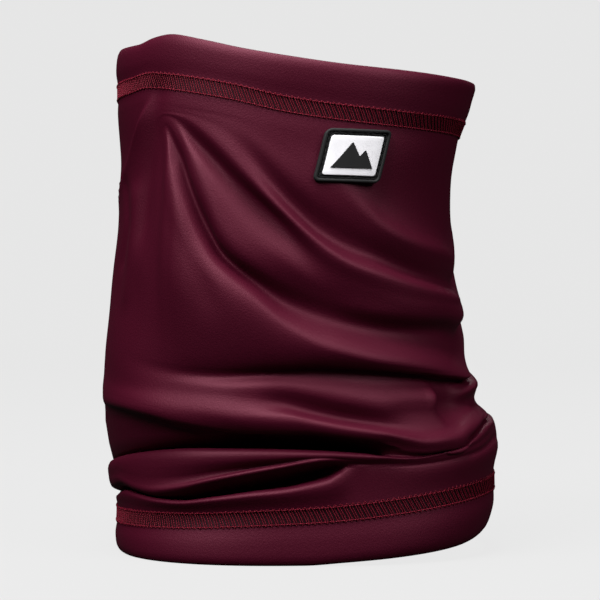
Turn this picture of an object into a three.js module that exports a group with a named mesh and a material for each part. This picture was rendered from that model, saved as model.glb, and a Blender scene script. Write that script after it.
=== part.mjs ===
// Neck gaiter: a tube of stretch knit with turned hems at both ends, a flat seam down the back,
// cover-stitched threads, a moulded rubber badge sewn to the front and a care label inside.
//
// Frame: millimetres, +Z up. The origin is the middle of the lower rim, which lies flat at z = 0.
// The wearer's front faces -Y, and the back seam is at +Y. Angles are measured round the tube from
// the front, positive towards +X.
import * as THREE from "three";

// ---- Driving dimensions -------------------------------------------------------------------

const CLEARANCE = 0.3; // between pieces that lie on each other
const CLOTH = 0.7; // thickness of the knit
const RIM_HEIGHT = 194; // mean height of the upper rim
const RIM_FALL = 6.8; // the upper rim is this much lower at +X and higher at -X
const CHEEK_RISE = 6; // local rise of the upper rim at the front left corner
const CHEEK_ANGLE = -0.7;
const CHEEK_SPREAD = 0.33;
const LIFT_FROM = 0.31; // the rim's rise and fall dies out between these two shares of its height
const LIFT_TO = 0.85;

const HALF_WIDTH = 80; // half the tube's size across X, at its widest folds
// The tube's outline, as it is worn: height as a share of RIM_HEIGHT, then the left and right edges
// across X as shares of HALF_WIDTH.
const OUTLINE = [
  [0, -0.925, 0.875],
  [0.124, -0.925, 0.988],
  [0.232, -0.938, 0.975],
  [0.309, -0.95, 0.9],
  [0.387, -0.963, 0.856],
  [0.515, -0.966, 0.806],
  [0.644, -0.938, 0.784],
  [0.758, -0.916, 0.767],
  [0.876, -0.912, 0.825],
  [1.062, -0.915, 0.887],
];
const DEPTH_LOW = 75; // half the tube's size from front to back, at the lower rim
const DEPTH_HIGH = 77; // and at the upper rim
const SQUARENESS_LOW = 2.1; // superellipse power: 2 is an ellipse, more is squarer
const SQUARENESS_HIGH = 2.4;

// Folds of the slack cloth: each runs along a path of [angle, share of RIM_HEIGHT] points, with its
// half width and how far its crest stands out. A negative rise is a furrow.
const FOLDS = [
  { path: [[-0.5, 0.87], [-0.04, 0.73], [0.34, 0.6], [0.8, 0.55], [1.5, 0.52]], halfWidth: 9, rise: 4 },
  { path: [[-0.5, 0.8], [-0.15, 0.71], [0.1, 0.62], [0.5, 0.5], [1.05, 0.46]], halfWidth: 8, rise: -4 },
  { path: [[-0.6, 0.86], [-0.5, 0.71], [-0.3, 0.58], [0, 0.5], [0.35, 0.43], [1.05, 0.37]], halfWidth: 9, rise: 4 },
  { path: [[-1.3, 0.32], [-0.6, 0.29], [0, 0.3], [0.45, 0.27]], halfWidth: 9, rise: 6 },
  { path: [[-1.4, 0.19], [-0.8, 0.22], [0, 0.24], [0.45, 0.23]], halfWidth: 8, rise: -8 },
  { path: [[0.8, 0.31], [1.3, 0.27], [1.8, 0.3]], halfWidth: 11, rise: 4 },
  { path: [[2, 0.35], [3.1, 0.31], [4.2, 0.34]], halfWidth: 12, rise: 5 },
  { path: [[2.2, 0.23], [3.1, 0.2], [4.1, 0.24]], halfWidth: 8, rise: -5 },
  { path: [[2.1, 0.69], [3.1, 0.58], [4.3, 0.51]], halfWidth: 12, rise: 4 },
];

const THREAD = 0.5; // thickness of a line of sewing thread as it lies on the cloth
const STITCH_GAUGE = 5.6; // between the two needle lines of a cover stitch
const NEEDLE_LINE = 0.7; // width of one needle thread's line
const RIM_TO_STITCH = 15.5; // from a rim to the nearer needle line
const HEM_MARGIN = 0.9; // turned-in cloth beyond the farther needle line

const SEAM_ANGLE = Math.PI; // the back seam
const SEAM_GAP = 0.6; // between the panel's two edges, where they butt under the seam
const SEAM_END = 1.5; // the seam's threads stop this far from each rim

const BADGE_ANGLE = 0.32;
const BADGE_BELOW_HEM = 2.8; // between the hem's cloth and the badge
const BADGE_TILT = -0.06;
const BADGE_LEAN = 0.12; // how far the badge's top is dragged to its right, per millimetre up
const BADGE_SIZE = [26, 20.5];
const BADGE_CORNER = 2.4;
const BADGE_FLOOR = 0.8; // thickness under the inlay
const BADGE_RIM = 1.7; // thickness at the raised border
const BADGE_BORDER = 1.3; // width of the raised border
const SEW_CHANNEL = 1.0; // width of the groove inside the border, where the badge is sewn down
const FIELD_MARGIN = 1.3; // between the sewing groove and the white field
const FIELD_CORNER = 1.2;
const FIELD_THICKNESS = 0.5;
const EMBLEM_THICKNESS = 0.4;

const LABEL_SIZE = [20, 26]; // care label: out from the seam, and up
const LABEL_THICKNESS = 0.4;
const LABEL_BELOW_RIM = 76; // its middle
const LABEL_GAP = 0.6; // it hangs a little off the cloth
const STATIONS = 56; // steps round the tube
const BODY_ROWS = 17; // steps up the tube between its hems

// ---- The worn tube's surface ---------------------------------------------------------------

const HALF_GAUGE = STITCH_GAUGE / 2;
const HEM_STITCH = RIM_TO_STITCH + HALF_GAUGE; // from a rim to the middle of its stitch band
const HEM_DEPTH = RIM_TO_STITCH + STITCH_GAUGE + HEM_MARGIN; // cloth turned in at each end
const HEM_STACK = 2 * CLOTH + CLEARANCE; // the two layers of a hem
const BODY_HEIGHT = RIM_HEIGHT - 2 * HEM_DEPTH; // between the hems
const BADGE_HEIGHT = RIM_HEIGHT - HEM_DEPTH - BADGE_BELOW_HEM - BADGE_SIZE[1] / 2; // its middle

const smooth = (t) => {
  const c = Math.min(Math.max(t, 0), 1);
  return c * c * (3 - 2 * c);
};
const bell = (t) => Math.exp(-t * t);
const wrapped = (angle) => Math.atan2(Math.sin(angle), Math.cos(angle));

// The edge at a height, on a smooth curve through the outline's rows; side is 1 for left, 2 for right.
function edgeAt(z, side) {
  const height = z / RIM_HEIGHT;
  const last = OUTLINE.length - 1;
  const above = OUTLINE.findIndex(([h]) => h > height);
  const i = above < 0 ? last - 1 : Math.max(above - 1, 0);
  const slope = (k) => {
    const [before, after] = [OUTLINE[Math.max(k - 1, 0)], OUTLINE[Math.min(k + 1, last)]];
    return (after[side] - before[side]) / (after[0] - before[0]);
  };
  const span = OUTLINE[i + 1][0] - OUTLINE[i][0];
  const t = Math.min(Math.max((height - OUTLINE[i][0]) / span, 0), 1);
  const near = OUTLINE[i][side] + slope(i) * span * t;
  const far = OUTLINE[i + 1][side] - slope(i + 1) * span * (1 - t);
  return HALF_WIDTH * (near + (far - near) * smooth(t));
}

// Height above the lower rim of the cloth at a nominal height, at an angle.
function heightAt(angle, nominal) {
  const cheek = CHEEK_RISE * bell(wrapped(angle - CHEEK_ANGLE) / CHEEK_SPREAD);
  const lift = cheek - RIM_FALL * Math.sin(angle);
  return nominal + lift * smooth((nominal / RIM_HEIGHT - LIFT_FROM) / (LIFT_TO - LIFT_FROM));
}

// How far a point of the cloth is from a fold's path.
function distanceTo(path, angle, height) {
  let nearest = Infinity;
  for (let i = 0; i + 1 < path.length; i++) {
    const [[a0, h0], [a1, h1]] = [path[i], path[i + 1]];
    const [alongX, alongY] = [(a1 - a0) * DEPTH_LOW, (h1 - h0) * RIM_HEIGHT];
    const [x, y] = [wrapped(angle - a0) * DEPTH_LOW, height - h0 * RIM_HEIGHT];
    const share = (x * alongX + y * alongY) / (alongX ** 2 + alongY ** 2);
    const t = Math.min(Math.max(share, 0), 1);
    nearest = Math.min(nearest, Math.hypot(x - t * alongX, y - t * alongY));
  }
  return nearest;
}

// How far the folds push the cloth out. They die out at the hems and under the badge, and the seam
// holds them back.
function foldAt(angle, height) {
  let out = 0;
  for (const { path, halfWidth, rise } of FOLDS) {
    out += rise * bell(distanceTo(path, angle, height) / halfWidth);
  }
  const clearOfHems = smooth((height - HEM_DEPTH) / 14);
  const heldBySeam = 1 - 0.5 * bell(wrapped(angle - SEAM_ANGLE) / 0.25);
  const toBadge = Math.hypot(wrapped(angle - BADGE_ANGLE) * DEPTH_HIGH, height - BADGE_HEIGHT);
  const clearOfBadge = smooth((toBadge / BADGE_SIZE[0] - 0.7) / 0.5);
  return out * clearOfHems * clearOfBadge * heldBySeam;
}

// A point on the cloth's outer face, moved out by offset (in when negative).
function onTube(angle, nominal, offset) {
  const z = heightAt(angle, nominal);
  const [left, right] = [edgeAt(z, 1), edgeAt(z, 2)];
  const up = z / RIM_HEIGHT;
  const halfWide = (right - left) / 2;
  const halfDeep = DEPTH_LOW + (DEPTH_HIGH - DEPTH_LOW) * up;
  const power = SQUARENESS_LOW + (SQUARENESS_HIGH - SQUARENESS_LOW) * up;
  const across = Math.abs(Math.sin(angle) / halfWide) ** power;
  const along = Math.abs(Math.cos(angle) / halfDeep) ** power;
  const radius = (across + along) ** (-1 / power);
  const r = radius + foldAt(angle, z) + offset;
  return new THREE.Vector3((left + right) / 2 + r * Math.sin(angle), -r * Math.cos(angle), z);
}

// ---- Meshes from grids ---------------------------------------------------------------------

// A closed solid from rings of points. Each ring joins the next. When open is true both end rings
// are filled in, and otherwise the last ring joins the first. A ring goes up one side of a thin
// wall and comes back down the other, so the wall's two sides have as many points as each other.
function solidFromRings(rings, open) {
  const size = rings[0].length;
  const points = rings.flat();
  const corner = (ring, i) => (ring % rings.length) * size + (i % size);
  const faces = [];
  const quad = (a, b, c, d) => {
    const acIsShorter = points[a].distanceTo(points[c]) < points[b].distanceTo(points[d]);
    faces.push(...(acIsShorter ? [a, b, c, a, c, d] : [a, b, d, b, c, d]));
  };
  const spans = open ? rings.length - 1 : rings.length;
  for (let ring = 0; ring < spans; ring++) {
    for (let i = 0; i < size; i++) {
      quad(corner(ring, i), corner(ring, i + 1), corner(ring + 1, i + 1), corner(ring + 1, i));
    }
  }
  const end = (rings.length - 1) * size;
  for (let i = 0; open && i + 1 < size / 2; i++) {
    const [opposite, next] = [size - 1 - i, size - 2 - i];
    quad(opposite, next, i + 1, i);
    quad(end + i, end + i + 1, end + next, end + opposite);
  }
  return geometryOf(points, faces);
}

function geometryOf(points, faces) {
  const geometry = new THREE.BufferGeometry();
  const positions = new Float32Array(points.flatMap((p) => [p.x, p.y, p.z]));
  geometry.setAttribute("position", new THREE.BufferAttribute(positions, 3));
  geometry.setIndex(faces);
  geometry.computeVertexNormals();
  return geometry;
}

// Nominal heights of the cloth's rows: every piece that lies on it bends at the same ones.
const ROWS = [
  0,
  RIM_TO_STITCH - NEEDLE_LINE / 2,
  ...Array.from({ length: BODY_ROWS + 1 }, (_, i) => HEM_DEPTH + (i * BODY_HEIGHT) / BODY_ROWS),
  RIM_HEIGHT - RIM_TO_STITCH + NEEDLE_LINE / 2,
  RIM_HEIGHT,
];
const rowsBetween = (low, high) => [low, ...ROWS.filter((h) => h > low && h < high), high];

// Angles round the tube, with extra ones where the stitch bands step over the back seam.
function stationsRound() {
  const step = (2 * Math.PI) / STATIONS;
  const seamHalf = SEAM_STEP_END / DEPTH_LOW;
  const angles = [];
  for (let i = 0; i < STATIONS; i++) {
    const angle = SEAM_ANGLE + i * step;
    if (Math.abs(wrapped(angle - SEAM_ANGLE)) > seamHalf * 1.2) angles.push(angle);
  }
  const near = [SEAM_STEP_END, SEAM_STEP_START].map((arc) => arc / DEPTH_LOW);
  const after = near.map((a) => SEAM_ANGLE + a).reverse();
  const before = near.map((a) => SEAM_ANGLE + 2 * Math.PI - a);
  return [...after, ...angles, ...before];
}
const SEAM_STEP_START = HALF_GAUGE + NEEDLE_LINE / 2 + 0.5; // clear of the seam's own threads
const SEAM_STEP_END = SEAM_STEP_START + 3;

// Rises from 0 to the thickness of the seam's threads where a ring crosses the back seam.
function seamStep(angle) {
  const arc = Math.abs(wrapped(angle - SEAM_ANGLE)) * DEPTH_LOW;
  const share = (SEAM_STEP_END - arc) / (SEAM_STEP_END - SEAM_STEP_START);
  return (THREAD + CLEARANCE) * Math.min(Math.max(share, 0), 1);
}

// A thin piece that lies on the tube between two nominal heights and two offsets, over the given
// angles. Its ends meet when closed is true; stepOut is 1 for a piece that steps over the seam.
function layerOnTube(angles, [low, high], [inner, outer], { closed = false, stepOut = 0 } = {}) {
  const rows = rowsBetween(low, high);
  const rings = angles.map((angle) => {
    const step = stepOut * seamStep(angle);
    const outside = rows.map((h) => onTube(angle, h, outer + step));
    const inside = rows.map((h) => onTube(angle, h, inner + step));
    return [...outside, ...inside.reverse()];
  });
  return solidFromRings(rings.reverse(), !closed);
}

const seamAngle = (arc) => SEAM_ANGLE + arc / DEPTH_LOW;

// ---- Fabric --------------------------------------------------------------------------------

// The panel's section, as [offset, nominal height]. The outer side runs from the lower hem's cut
// edge down to the rim, up the tube's outer face, and in and down to the upper hem's cut edge. The
// inner side comes back the same way.
function panelSection() {
  const top = RIM_HEIGHT;
  const column = (offset, rows) => rows.map((h) => [offset, h]);
  const outerSide = [
    ...column(-HEM_STACK, rowsBetween(0, HEM_DEPTH).reverse()),
    ...column(0, ROWS),
    ...column(-HEM_STACK, rowsBetween(top - HEM_DEPTH, top).reverse()),
  ];
  const innerSide = [
    ...column(-CLOTH - CLEARANCE, rowsBetween(CLOTH, HEM_DEPTH).reverse()),
    ...column(-CLOTH, rowsBetween(CLOTH, top - CLOTH)),
    ...column(-CLOTH - CLEARANCE, rowsBetween(top - HEM_DEPTH, top - CLOTH).reverse()),
  ];
  return [...outerSide, ...innerSide.reverse()];
}

function fabricPanel() {
  const section = panelSection();
  const start = seamAngle(SEAM_GAP / 2);
  const end = seamAngle(-SEAM_GAP / 2) + 2 * Math.PI;
  const rings = [start, ...stationsRound(), end].map((angle) =>
    section.map(([offset, h]) => onTube(angle, h, offset)),
  );
  return solidFromRings(rings.reverse(), true);
}

// ---- Sewing threads ------------------------------------------------------------------------

// The four threads of one hem: a needle line at each side, the cover thread that zigzags between
// them on the outside, and the looper thread on the inside. middle is the band's nominal height.
function hemThreads(name, middle) {
  const low = middle - HALF_GAUGE;
  const high = middle + HALF_GAUGE;
  const half = NEEDLE_LINE / 2;
  const fill = half + CLEARANCE;
  const outside = [CLEARANCE, CLEARANCE + THREAD];
  const inside = [-HEM_STACK - CLEARANCE - THREAD, -HEM_STACK - CLEARANCE];
  const over = { closed: true, stepOut: 1 };
  const band = (from, to) => layerOnTube(stationsRound(), [from, to], outside, over);
  return [
    [`${name}_hem_lower_needle_thread`, band(low - half, low + half)],
    [`${name}_hem_upper_needle_thread`, band(high - half, high + half)],
    [`${name}_hem_cover_thread`, band(low + fill, high - fill)],
    [
      `${name}_hem_looper_thread`,
      layerOnTube(stationsRound(), [low, high], inside, { closed: true }),
    ],
  ];
}

function seamThreads() {
  const half = NEEDLE_LINE / 2;
  const fill = half + CLEARANCE;
  const rim = [SEAM_END, RIM_HEIGHT - SEAM_END];
  const clearOfHems = [HEM_DEPTH + 2 * CLEARANCE, RIM_HEIGHT - HEM_DEPTH - 2 * CLEARANCE];
  const outside = [CLEARANCE, CLEARANCE + THREAD];
  const inside = [-CLOTH - CLEARANCE - THREAD, -CLOTH - CLEARANCE];
  const strip = (from, to, heights, offsets) =>
    layerOnTube([seamAngle(from), seamAngle(to)], heights, offsets);
  return [
    ["back_seam_left_needle_thread", strip(HALF_GAUGE - half, HALF_GAUGE + half, rim, outside)],
    ["back_seam_right_needle_thread", strip(-HALF_GAUGE - half, half - HALF_GAUGE, rim, outside)],
    ["back_seam_cover_thread", strip(fill - HALF_GAUGE, HALF_GAUGE - fill, rim, outside)],
    ["back_seam_looper_thread", strip(-HALF_GAUGE, HALF_GAUGE, clearOfHems, inside)],
  ];
}

// ---- Rubber badge --------------------------------------------------------------------------

// A point of the badge: x to its right, y up, offset out from the cloth.
function onBadge(x, y, offset) {
  const across = (x + BADGE_LEAN * y) * Math.cos(BADGE_TILT) - y * Math.sin(BADGE_TILT);
  const up = x * Math.sin(BADGE_TILT) + y * Math.cos(BADGE_TILT);
  return onTube(BADGE_ANGLE + across / DEPTH_HIGH, BADGE_HEIGHT + up, offset);
}

// A rectangle with round corners, as [x, y] points that run anticlockwise.
function roundedRectangle([width, height], corner, sideSteps = 3, cornerSteps = 3) {
  const shape = new THREE.Shape();
  const [x, y] = [width / 2 - corner, height / 2 - corner];
  shape.absarc(x, y, corner, 0, Math.PI / 2);
  shape.absarc(-x, y, corner, Math.PI / 2, Math.PI);
  shape.absarc(-x, -y, corner, Math.PI, 1.5 * Math.PI);
  shape.absarc(x, -y, corner, 1.5 * Math.PI, 2 * Math.PI);
  shape.closePath();
  const points = [];
  for (const curve of shape.curves) {
    const steps = curve.isLineCurve ? sideSteps : cornerSteps;
    for (let i = 0; i < steps; i++) points.push(curve.getPoint(i / steps));
  }
  return points.map((p) => [p.x, p.y]);
}

// A solid from loops of points on the badge: each loop holds [outline, offset from the cloth], from
// its underside round to its top, and both faces close on the outlines' middle.
function moulding(loops, middle = [0, 0]) {
  const size = loops[0][0].length;
  const points = loops.flatMap(([outline, offset]) => outline.map(([x, y]) => onBadge(x, y, offset)));
  const [underOffset, topOffset] = [loops[0][1], loops[loops.length - 1][1]];
  const faces = [];
  for (let loop = 0; loop + 1 < loops.length; loop++) {
    for (let i = 0; i < size; i++) {
      const [a, b] = [loop * size + i, loop * size + ((i + 1) % size)];
      faces.push(a, b, b + size, a, b + size, a + size);
    }
  }
  const [underside, top] = [points.length, points.length + 1];
  const lastLoop = points.length - size;
  points.push(onBadge(...middle, underOffset), onBadge(...middle, topOffset));
  for (let i = 0; i < size; i++) {
    const next = (i + 1) % size;
    faces.push(underside, next, i, top, lastLoop + i, lastLoop + next);
  }
  return geometryOf(points, faces);
}

// A rounded rectangle whose sides lie inset inside those of another.
function insetRectangle(size, corner, inset) {
  const inner = size.map((side) => side - 2 * inset);
  return roundedRectangle(inner, Math.max(corner - inset, 0.2));
}

// A closed loop of thread that lies in the badge's sewing channel.
function badgeThread() {
  const inset = BADGE_BORDER + SEW_CHANNEL / 2;
  const size = BADGE_SIZE.map((side) => side - 2 * inset);
  const outline = roundedRectangle(size, BADGE_CORNER - inset / 2, 4, 3);
  const floor = CLEARANCE + BADGE_FLOOR + CLEARANCE;
  const half = SEW_CHANNEL / 2 - CLEARANCE;
  const rings = outline.map(([x, y]) => {
    const long = Math.hypot(x, y);
    const at = (inOrOut, offset) =>
      onBadge(x * (1 + inOrOut / long), y * (1 + inOrOut / long), offset);
    return [
      at(-half, floor),
      at(half, floor),
      at(half, floor + THREAD),
      at(-half, floor + THREAD),
    ];
  });
  return solidFromRings(rings.reverse(), false);
}

function badgePieces() {
  const floor = CLEARANCE + BADGE_FLOOR;
  const fieldTop = floor + CLEARANCE + FIELD_THICKNESS;
  const emblemBase = fieldTop + CLEARANCE;
  const emblemTop = emblemBase + EMBLEM_THICKNESS;
  const base = (inset) => insetRectangle(BADGE_SIZE, BADGE_CORNER, inset);
  const fieldInset = BADGE_BORDER + SEW_CHANNEL + FIELD_MARGIN;
  const fieldSize = BADGE_SIZE.map((side) => side - 2 * fieldInset);
  const field = (inset) => insetRectangle(fieldSize, FIELD_CORNER, inset);
  const onField = (share) => share.map((s, i) => s * fieldSize[i]);
  const emblem = (keep) =>
    PEAKS.map((corner) => onField(corner.map((s, i) => s * keep + PEAKS_MIDDLE[i] * (1 - keep))));
  const baseLoops = [
    [base(7), CLEARANCE],
    [base(3), CLEARANCE],
    [base(0), CLEARANCE],
    [base(0), CLEARANCE + BADGE_RIM],
    [base(BADGE_BORDER), CLEARANCE + BADGE_RIM],
    [base(BADGE_BORDER), floor],
    [base(7), floor],
  ];
  const fieldLoops = [
    [field(5), floor + CLEARANCE],
    [field(0), floor + CLEARANCE],
    [field(0), fieldTop],
    [field(5), fieldTop],
  ];
  const emblemLoops = [
    [emblem(0.5), emblemBase],
    [emblem(1), emblemBase],
    [emblem(1), emblemTop],
    [emblem(0.5), emblemTop],
  ];
  return [
    ["badge_base", moulding(baseLoops)],
    ["badge_field", moulding(fieldLoops)],
    ["badge_emblem", moulding(emblemLoops, onField(PEAKS_MIDDLE))],
    ["badge_sewing_thread", badgeThread()],
  ];
}

// Two plain peaks as shares of the field's size, anticlockwise from the lower left.
const PEAKS = [
  [-0.39, -0.33],
  [-0.13, -0.33],
  [0.13, -0.33],
  [0.39, -0.33],
  [0.29, -0.09],
  [0.19, 0.13],
  [0.1, -0.02],
  [0.01, 0.17],
  [-0.08, 0.35],
  [-0.19, 0.11],
  [-0.29, -0.11],
];
const PEAKS_MIDDLE = [-0.03, -0.18]; // every corner can be seen from here

// ---- Care label ----------------------------------------------------------------------------

// A flat woven label inside the tube, its edge caught beside the back seam.
function careLabel() {
  const [out, up] = LABEL_SIZE;
  const from = HALF_GAUGE + NEEDLE_LINE / 2 + CLEARANCE;
  const within = stationsRound().filter((a) => a > seamAngle(from) && a < seamAngle(from + out));
  const middle = RIM_HEIGHT - LABEL_BELOW_RIM;
  const heights = [middle - up / 2, middle + up / 2];
  const offsets = [-CLOTH - LABEL_GAP - LABEL_THICKNESS, -CLOTH - LABEL_GAP];
  return layerOnTube([seamAngle(from), ...within, seamAngle(from + out)], heights, offsets);
}

// ---- Assembly ------------------------------------------------------------------------------

const knit = new THREE.MeshStandardMaterial({ color: 0x5a1428, roughness: 0.45, metalness: 0 });
const crimson = new THREE.MeshStandardMaterial({ color: 0x7d1026, roughness: 0.6, metalness: 0 });
const blackRubber = new THREE.MeshStandardMaterial({ color: 0x161616, roughness: 0.6, metalness: 0 });
const whiteRubber = new THREE.MeshStandardMaterial({ color: 0xe8e8ea, roughness: 0.55, metalness: 0 });
const blackThread = new THREE.MeshStandardMaterial({ color: 0x1b1b1b, roughness: 0.8, metalness: 0 });
const satin = new THREE.MeshStandardMaterial({ color: 0x202022, roughness: 0.5, metalness: 0 });

const badgeMaterials = {
  badge_base: blackRubber,
  badge_field: whiteRubber,
  badge_emblem: blackRubber,
  badge_sewing_thread: blackThread,
};

const gaiter = new THREE.Group();

function place(name, geometry, material) {
  const mesh = new THREE.Mesh(geometry, material);
  mesh.name = name;
  gaiter.add(mesh);
}

place("fabric_panel", fabricPanel(), knit);
const stitchedHems = [
  ...hemThreads("bottom", HEM_STITCH),
  ...hemThreads("top", RIM_HEIGHT - HEM_STITCH),
];
for (const [name, geometry] of [...stitchedHems, ...seamThreads()]) place(name, geometry, crimson);
for (const [name, geometry] of badgePieces()) place(name, geometry, badgeMaterials[name]);
place("care_label", careLabel(), satin);

// The origin is the middle of the lower rim's box.
const middle = new THREE.Box3().setFromObject(gaiter).getCenter(new THREE.Vector3());
for (const mesh of gaiter.children) mesh.geometry.translate(-middle.x, -middle.y, 0);

export default gaiter;
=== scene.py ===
"""Neck gaiter of burgundy stretch knit, standing in the shape it is worn in.

One cloth panel is folded in at both ends, cover-stitched, and closed by a flat seam down the back.
A moulded rubber badge is sewn to the front and a satin care label is caught inside the back seam.
Lengths are in metres unless a name ends in _mm. Angles go round the tube from the front (-Y),
positive towards +X.
"""

import math

import bmesh
import bpy
import numpy as np
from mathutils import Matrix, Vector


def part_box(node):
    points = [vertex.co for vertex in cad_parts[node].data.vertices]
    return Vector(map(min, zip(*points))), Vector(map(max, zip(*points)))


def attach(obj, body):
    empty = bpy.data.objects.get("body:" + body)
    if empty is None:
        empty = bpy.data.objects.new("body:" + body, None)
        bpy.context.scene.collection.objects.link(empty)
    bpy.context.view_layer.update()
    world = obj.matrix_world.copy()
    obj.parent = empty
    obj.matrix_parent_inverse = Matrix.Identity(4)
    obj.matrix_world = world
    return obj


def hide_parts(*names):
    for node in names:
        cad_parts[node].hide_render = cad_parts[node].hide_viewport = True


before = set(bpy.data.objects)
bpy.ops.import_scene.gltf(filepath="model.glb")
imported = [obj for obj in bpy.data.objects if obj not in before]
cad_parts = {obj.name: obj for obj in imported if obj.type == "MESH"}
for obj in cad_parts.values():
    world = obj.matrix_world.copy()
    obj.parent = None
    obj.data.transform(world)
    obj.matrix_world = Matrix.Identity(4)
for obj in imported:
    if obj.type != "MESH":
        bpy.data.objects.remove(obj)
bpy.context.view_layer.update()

# ---------------------------------------------------------------------------------------------
# Knit panel. One piece of smooth nylon and elastane knit with a satin face, pulled into a tube.
# Both ends are turned in 22 mm as hems, and the slack between them falls into diagonal folds
# and, low on the front, two deep tucks.
# ---------------------------------------------------------------------------------------------

CLOTH_THICKNESS = 0.0006
HEM_STACK_MM = 1.6  # from the tube's outer face to the hem's inner face
HEM_DIMPLE_MM = 0.2  # how far the stitches draw the hem's inner layer outwards
STITCH_GAUGE_MM = 5.6  # between the two needle lines
HEM_MARGIN_MM = 0.9  # cloth left past the needle line nearest the hem's cut edge
SEAM_GROOVE_MM = 0.4  # how far the back seam draws the cloth in
SEAM_GROOVE_WIDE_MM = 2.2
TUBE_RADIUS_MM = 75  # turns an angle into a distance round the tube
COLUMNS = 320  # of the panel's grid, round the tube
RELIEF = 1.25  # how much deeper the folds are made than the figures in their lines

# The tube's outline: height, then its left and right edges across X, in mm.
outline_mm = np.array(
    [
        (0, -74.0, 69.5),
        (8, -74.6, 74.5),
        (18, -74.6, 78.3),
        (34, -76.0, 79.3),
        (46, -76.0, 80.6),
        (53, -78.6, 77.8),
        (59, -79.4, 70.2),
        (66, -79.7, 70.8),
        (74, -79.6, 65.4),
        (86, -78.4, 65.6),
        (100, -77.0, 63.6),
        (116, -75.4, 62.2),
        (140, -73.5, 61.6),
        (155, -72.4, 62.6),
        (165, -73.2, 64.4),
        (173, -73.8, 67.4),
        (181, -74.0, 68.8),
        (188, -73.9, 71.0),
        (206, -72.2, 73.0),
    ]
)
DEPTH_LOW_MM, DEPTH_HIGH_MM = 75.0, 77.0  # from the middle to the front, at the foot and the top
FORWARD_MM = 0.6  # the middle of the tube's box lies this far behind the rims' centre

# Fold lines that run round the tube, from the lower hem up: (angle, height, how far the cloth
# stands out from the plain tube there). The cloth's profile at any angle passes through them.
lower_rim = [(-2.6, 0, 0), (-1.3, 0.3, 0), (-0.9, 0, 0), (0.05, 0, 0), (0.25, 1, 0),
             (0.5, 2.3, 0), (0.93, 4.8, 0), (1.3, 7.2, 0), (1.8, 6, 0), (2.5, 0.8, 0)]
lower_stitch = [(-2.4, 14, -0.3), (-1.57, 11.5, -0.3), (-0.66, 13.5, -0.3), (-0.27, 15.2, -0.3),
                (0.19, 17.3, -0.3), (0.93, 23, -0.3), (1.3, 24.5, -0.3), (1.7, 24, -0.3),
                (2.4, 18.5, -0.3), (3.1, 15.5, -0.3)]
upper_stitch = [(-2.3, 178, -0.3), (-1.5, 180.5, -0.3), (-1, 182.5, -0.3), (-0.82, 184, -0.3),
                (-0.6, 182.5, -0.3), (-0.31, 178.8, -0.3), (-0.05, 174.2, -0.3), (0.23, 171, -0.3),
                (0.57, 168.6, -0.3), (0.96, 167, -0.3), (1.57, 166, -0.3), (2.3, 168, -0.3),
                (3.1, 173, -0.3)]
upper_rim = [(-2.3, 200, 0), (-1.6, 201.3, 0), (-0.97, 201.3, 0), (-0.81, 203.5, 0),
             (-0.68, 204.3, 0), (-0.51, 202, 0), (-0.27, 198, 0), (0.03, 194.2, 0),
             (0.25, 192, 0), (0.57, 190, 0), (0.9, 188.4, 0), (1.2, 187.6, 0.3), (1.33, 187.2, 0.8),
             (1.45, 186.2, 0.3), (1.6, 184.8, 0), (1.9, 184.2, 0), (2.4, 188, 0), (3.1, 194, 0)]
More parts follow.
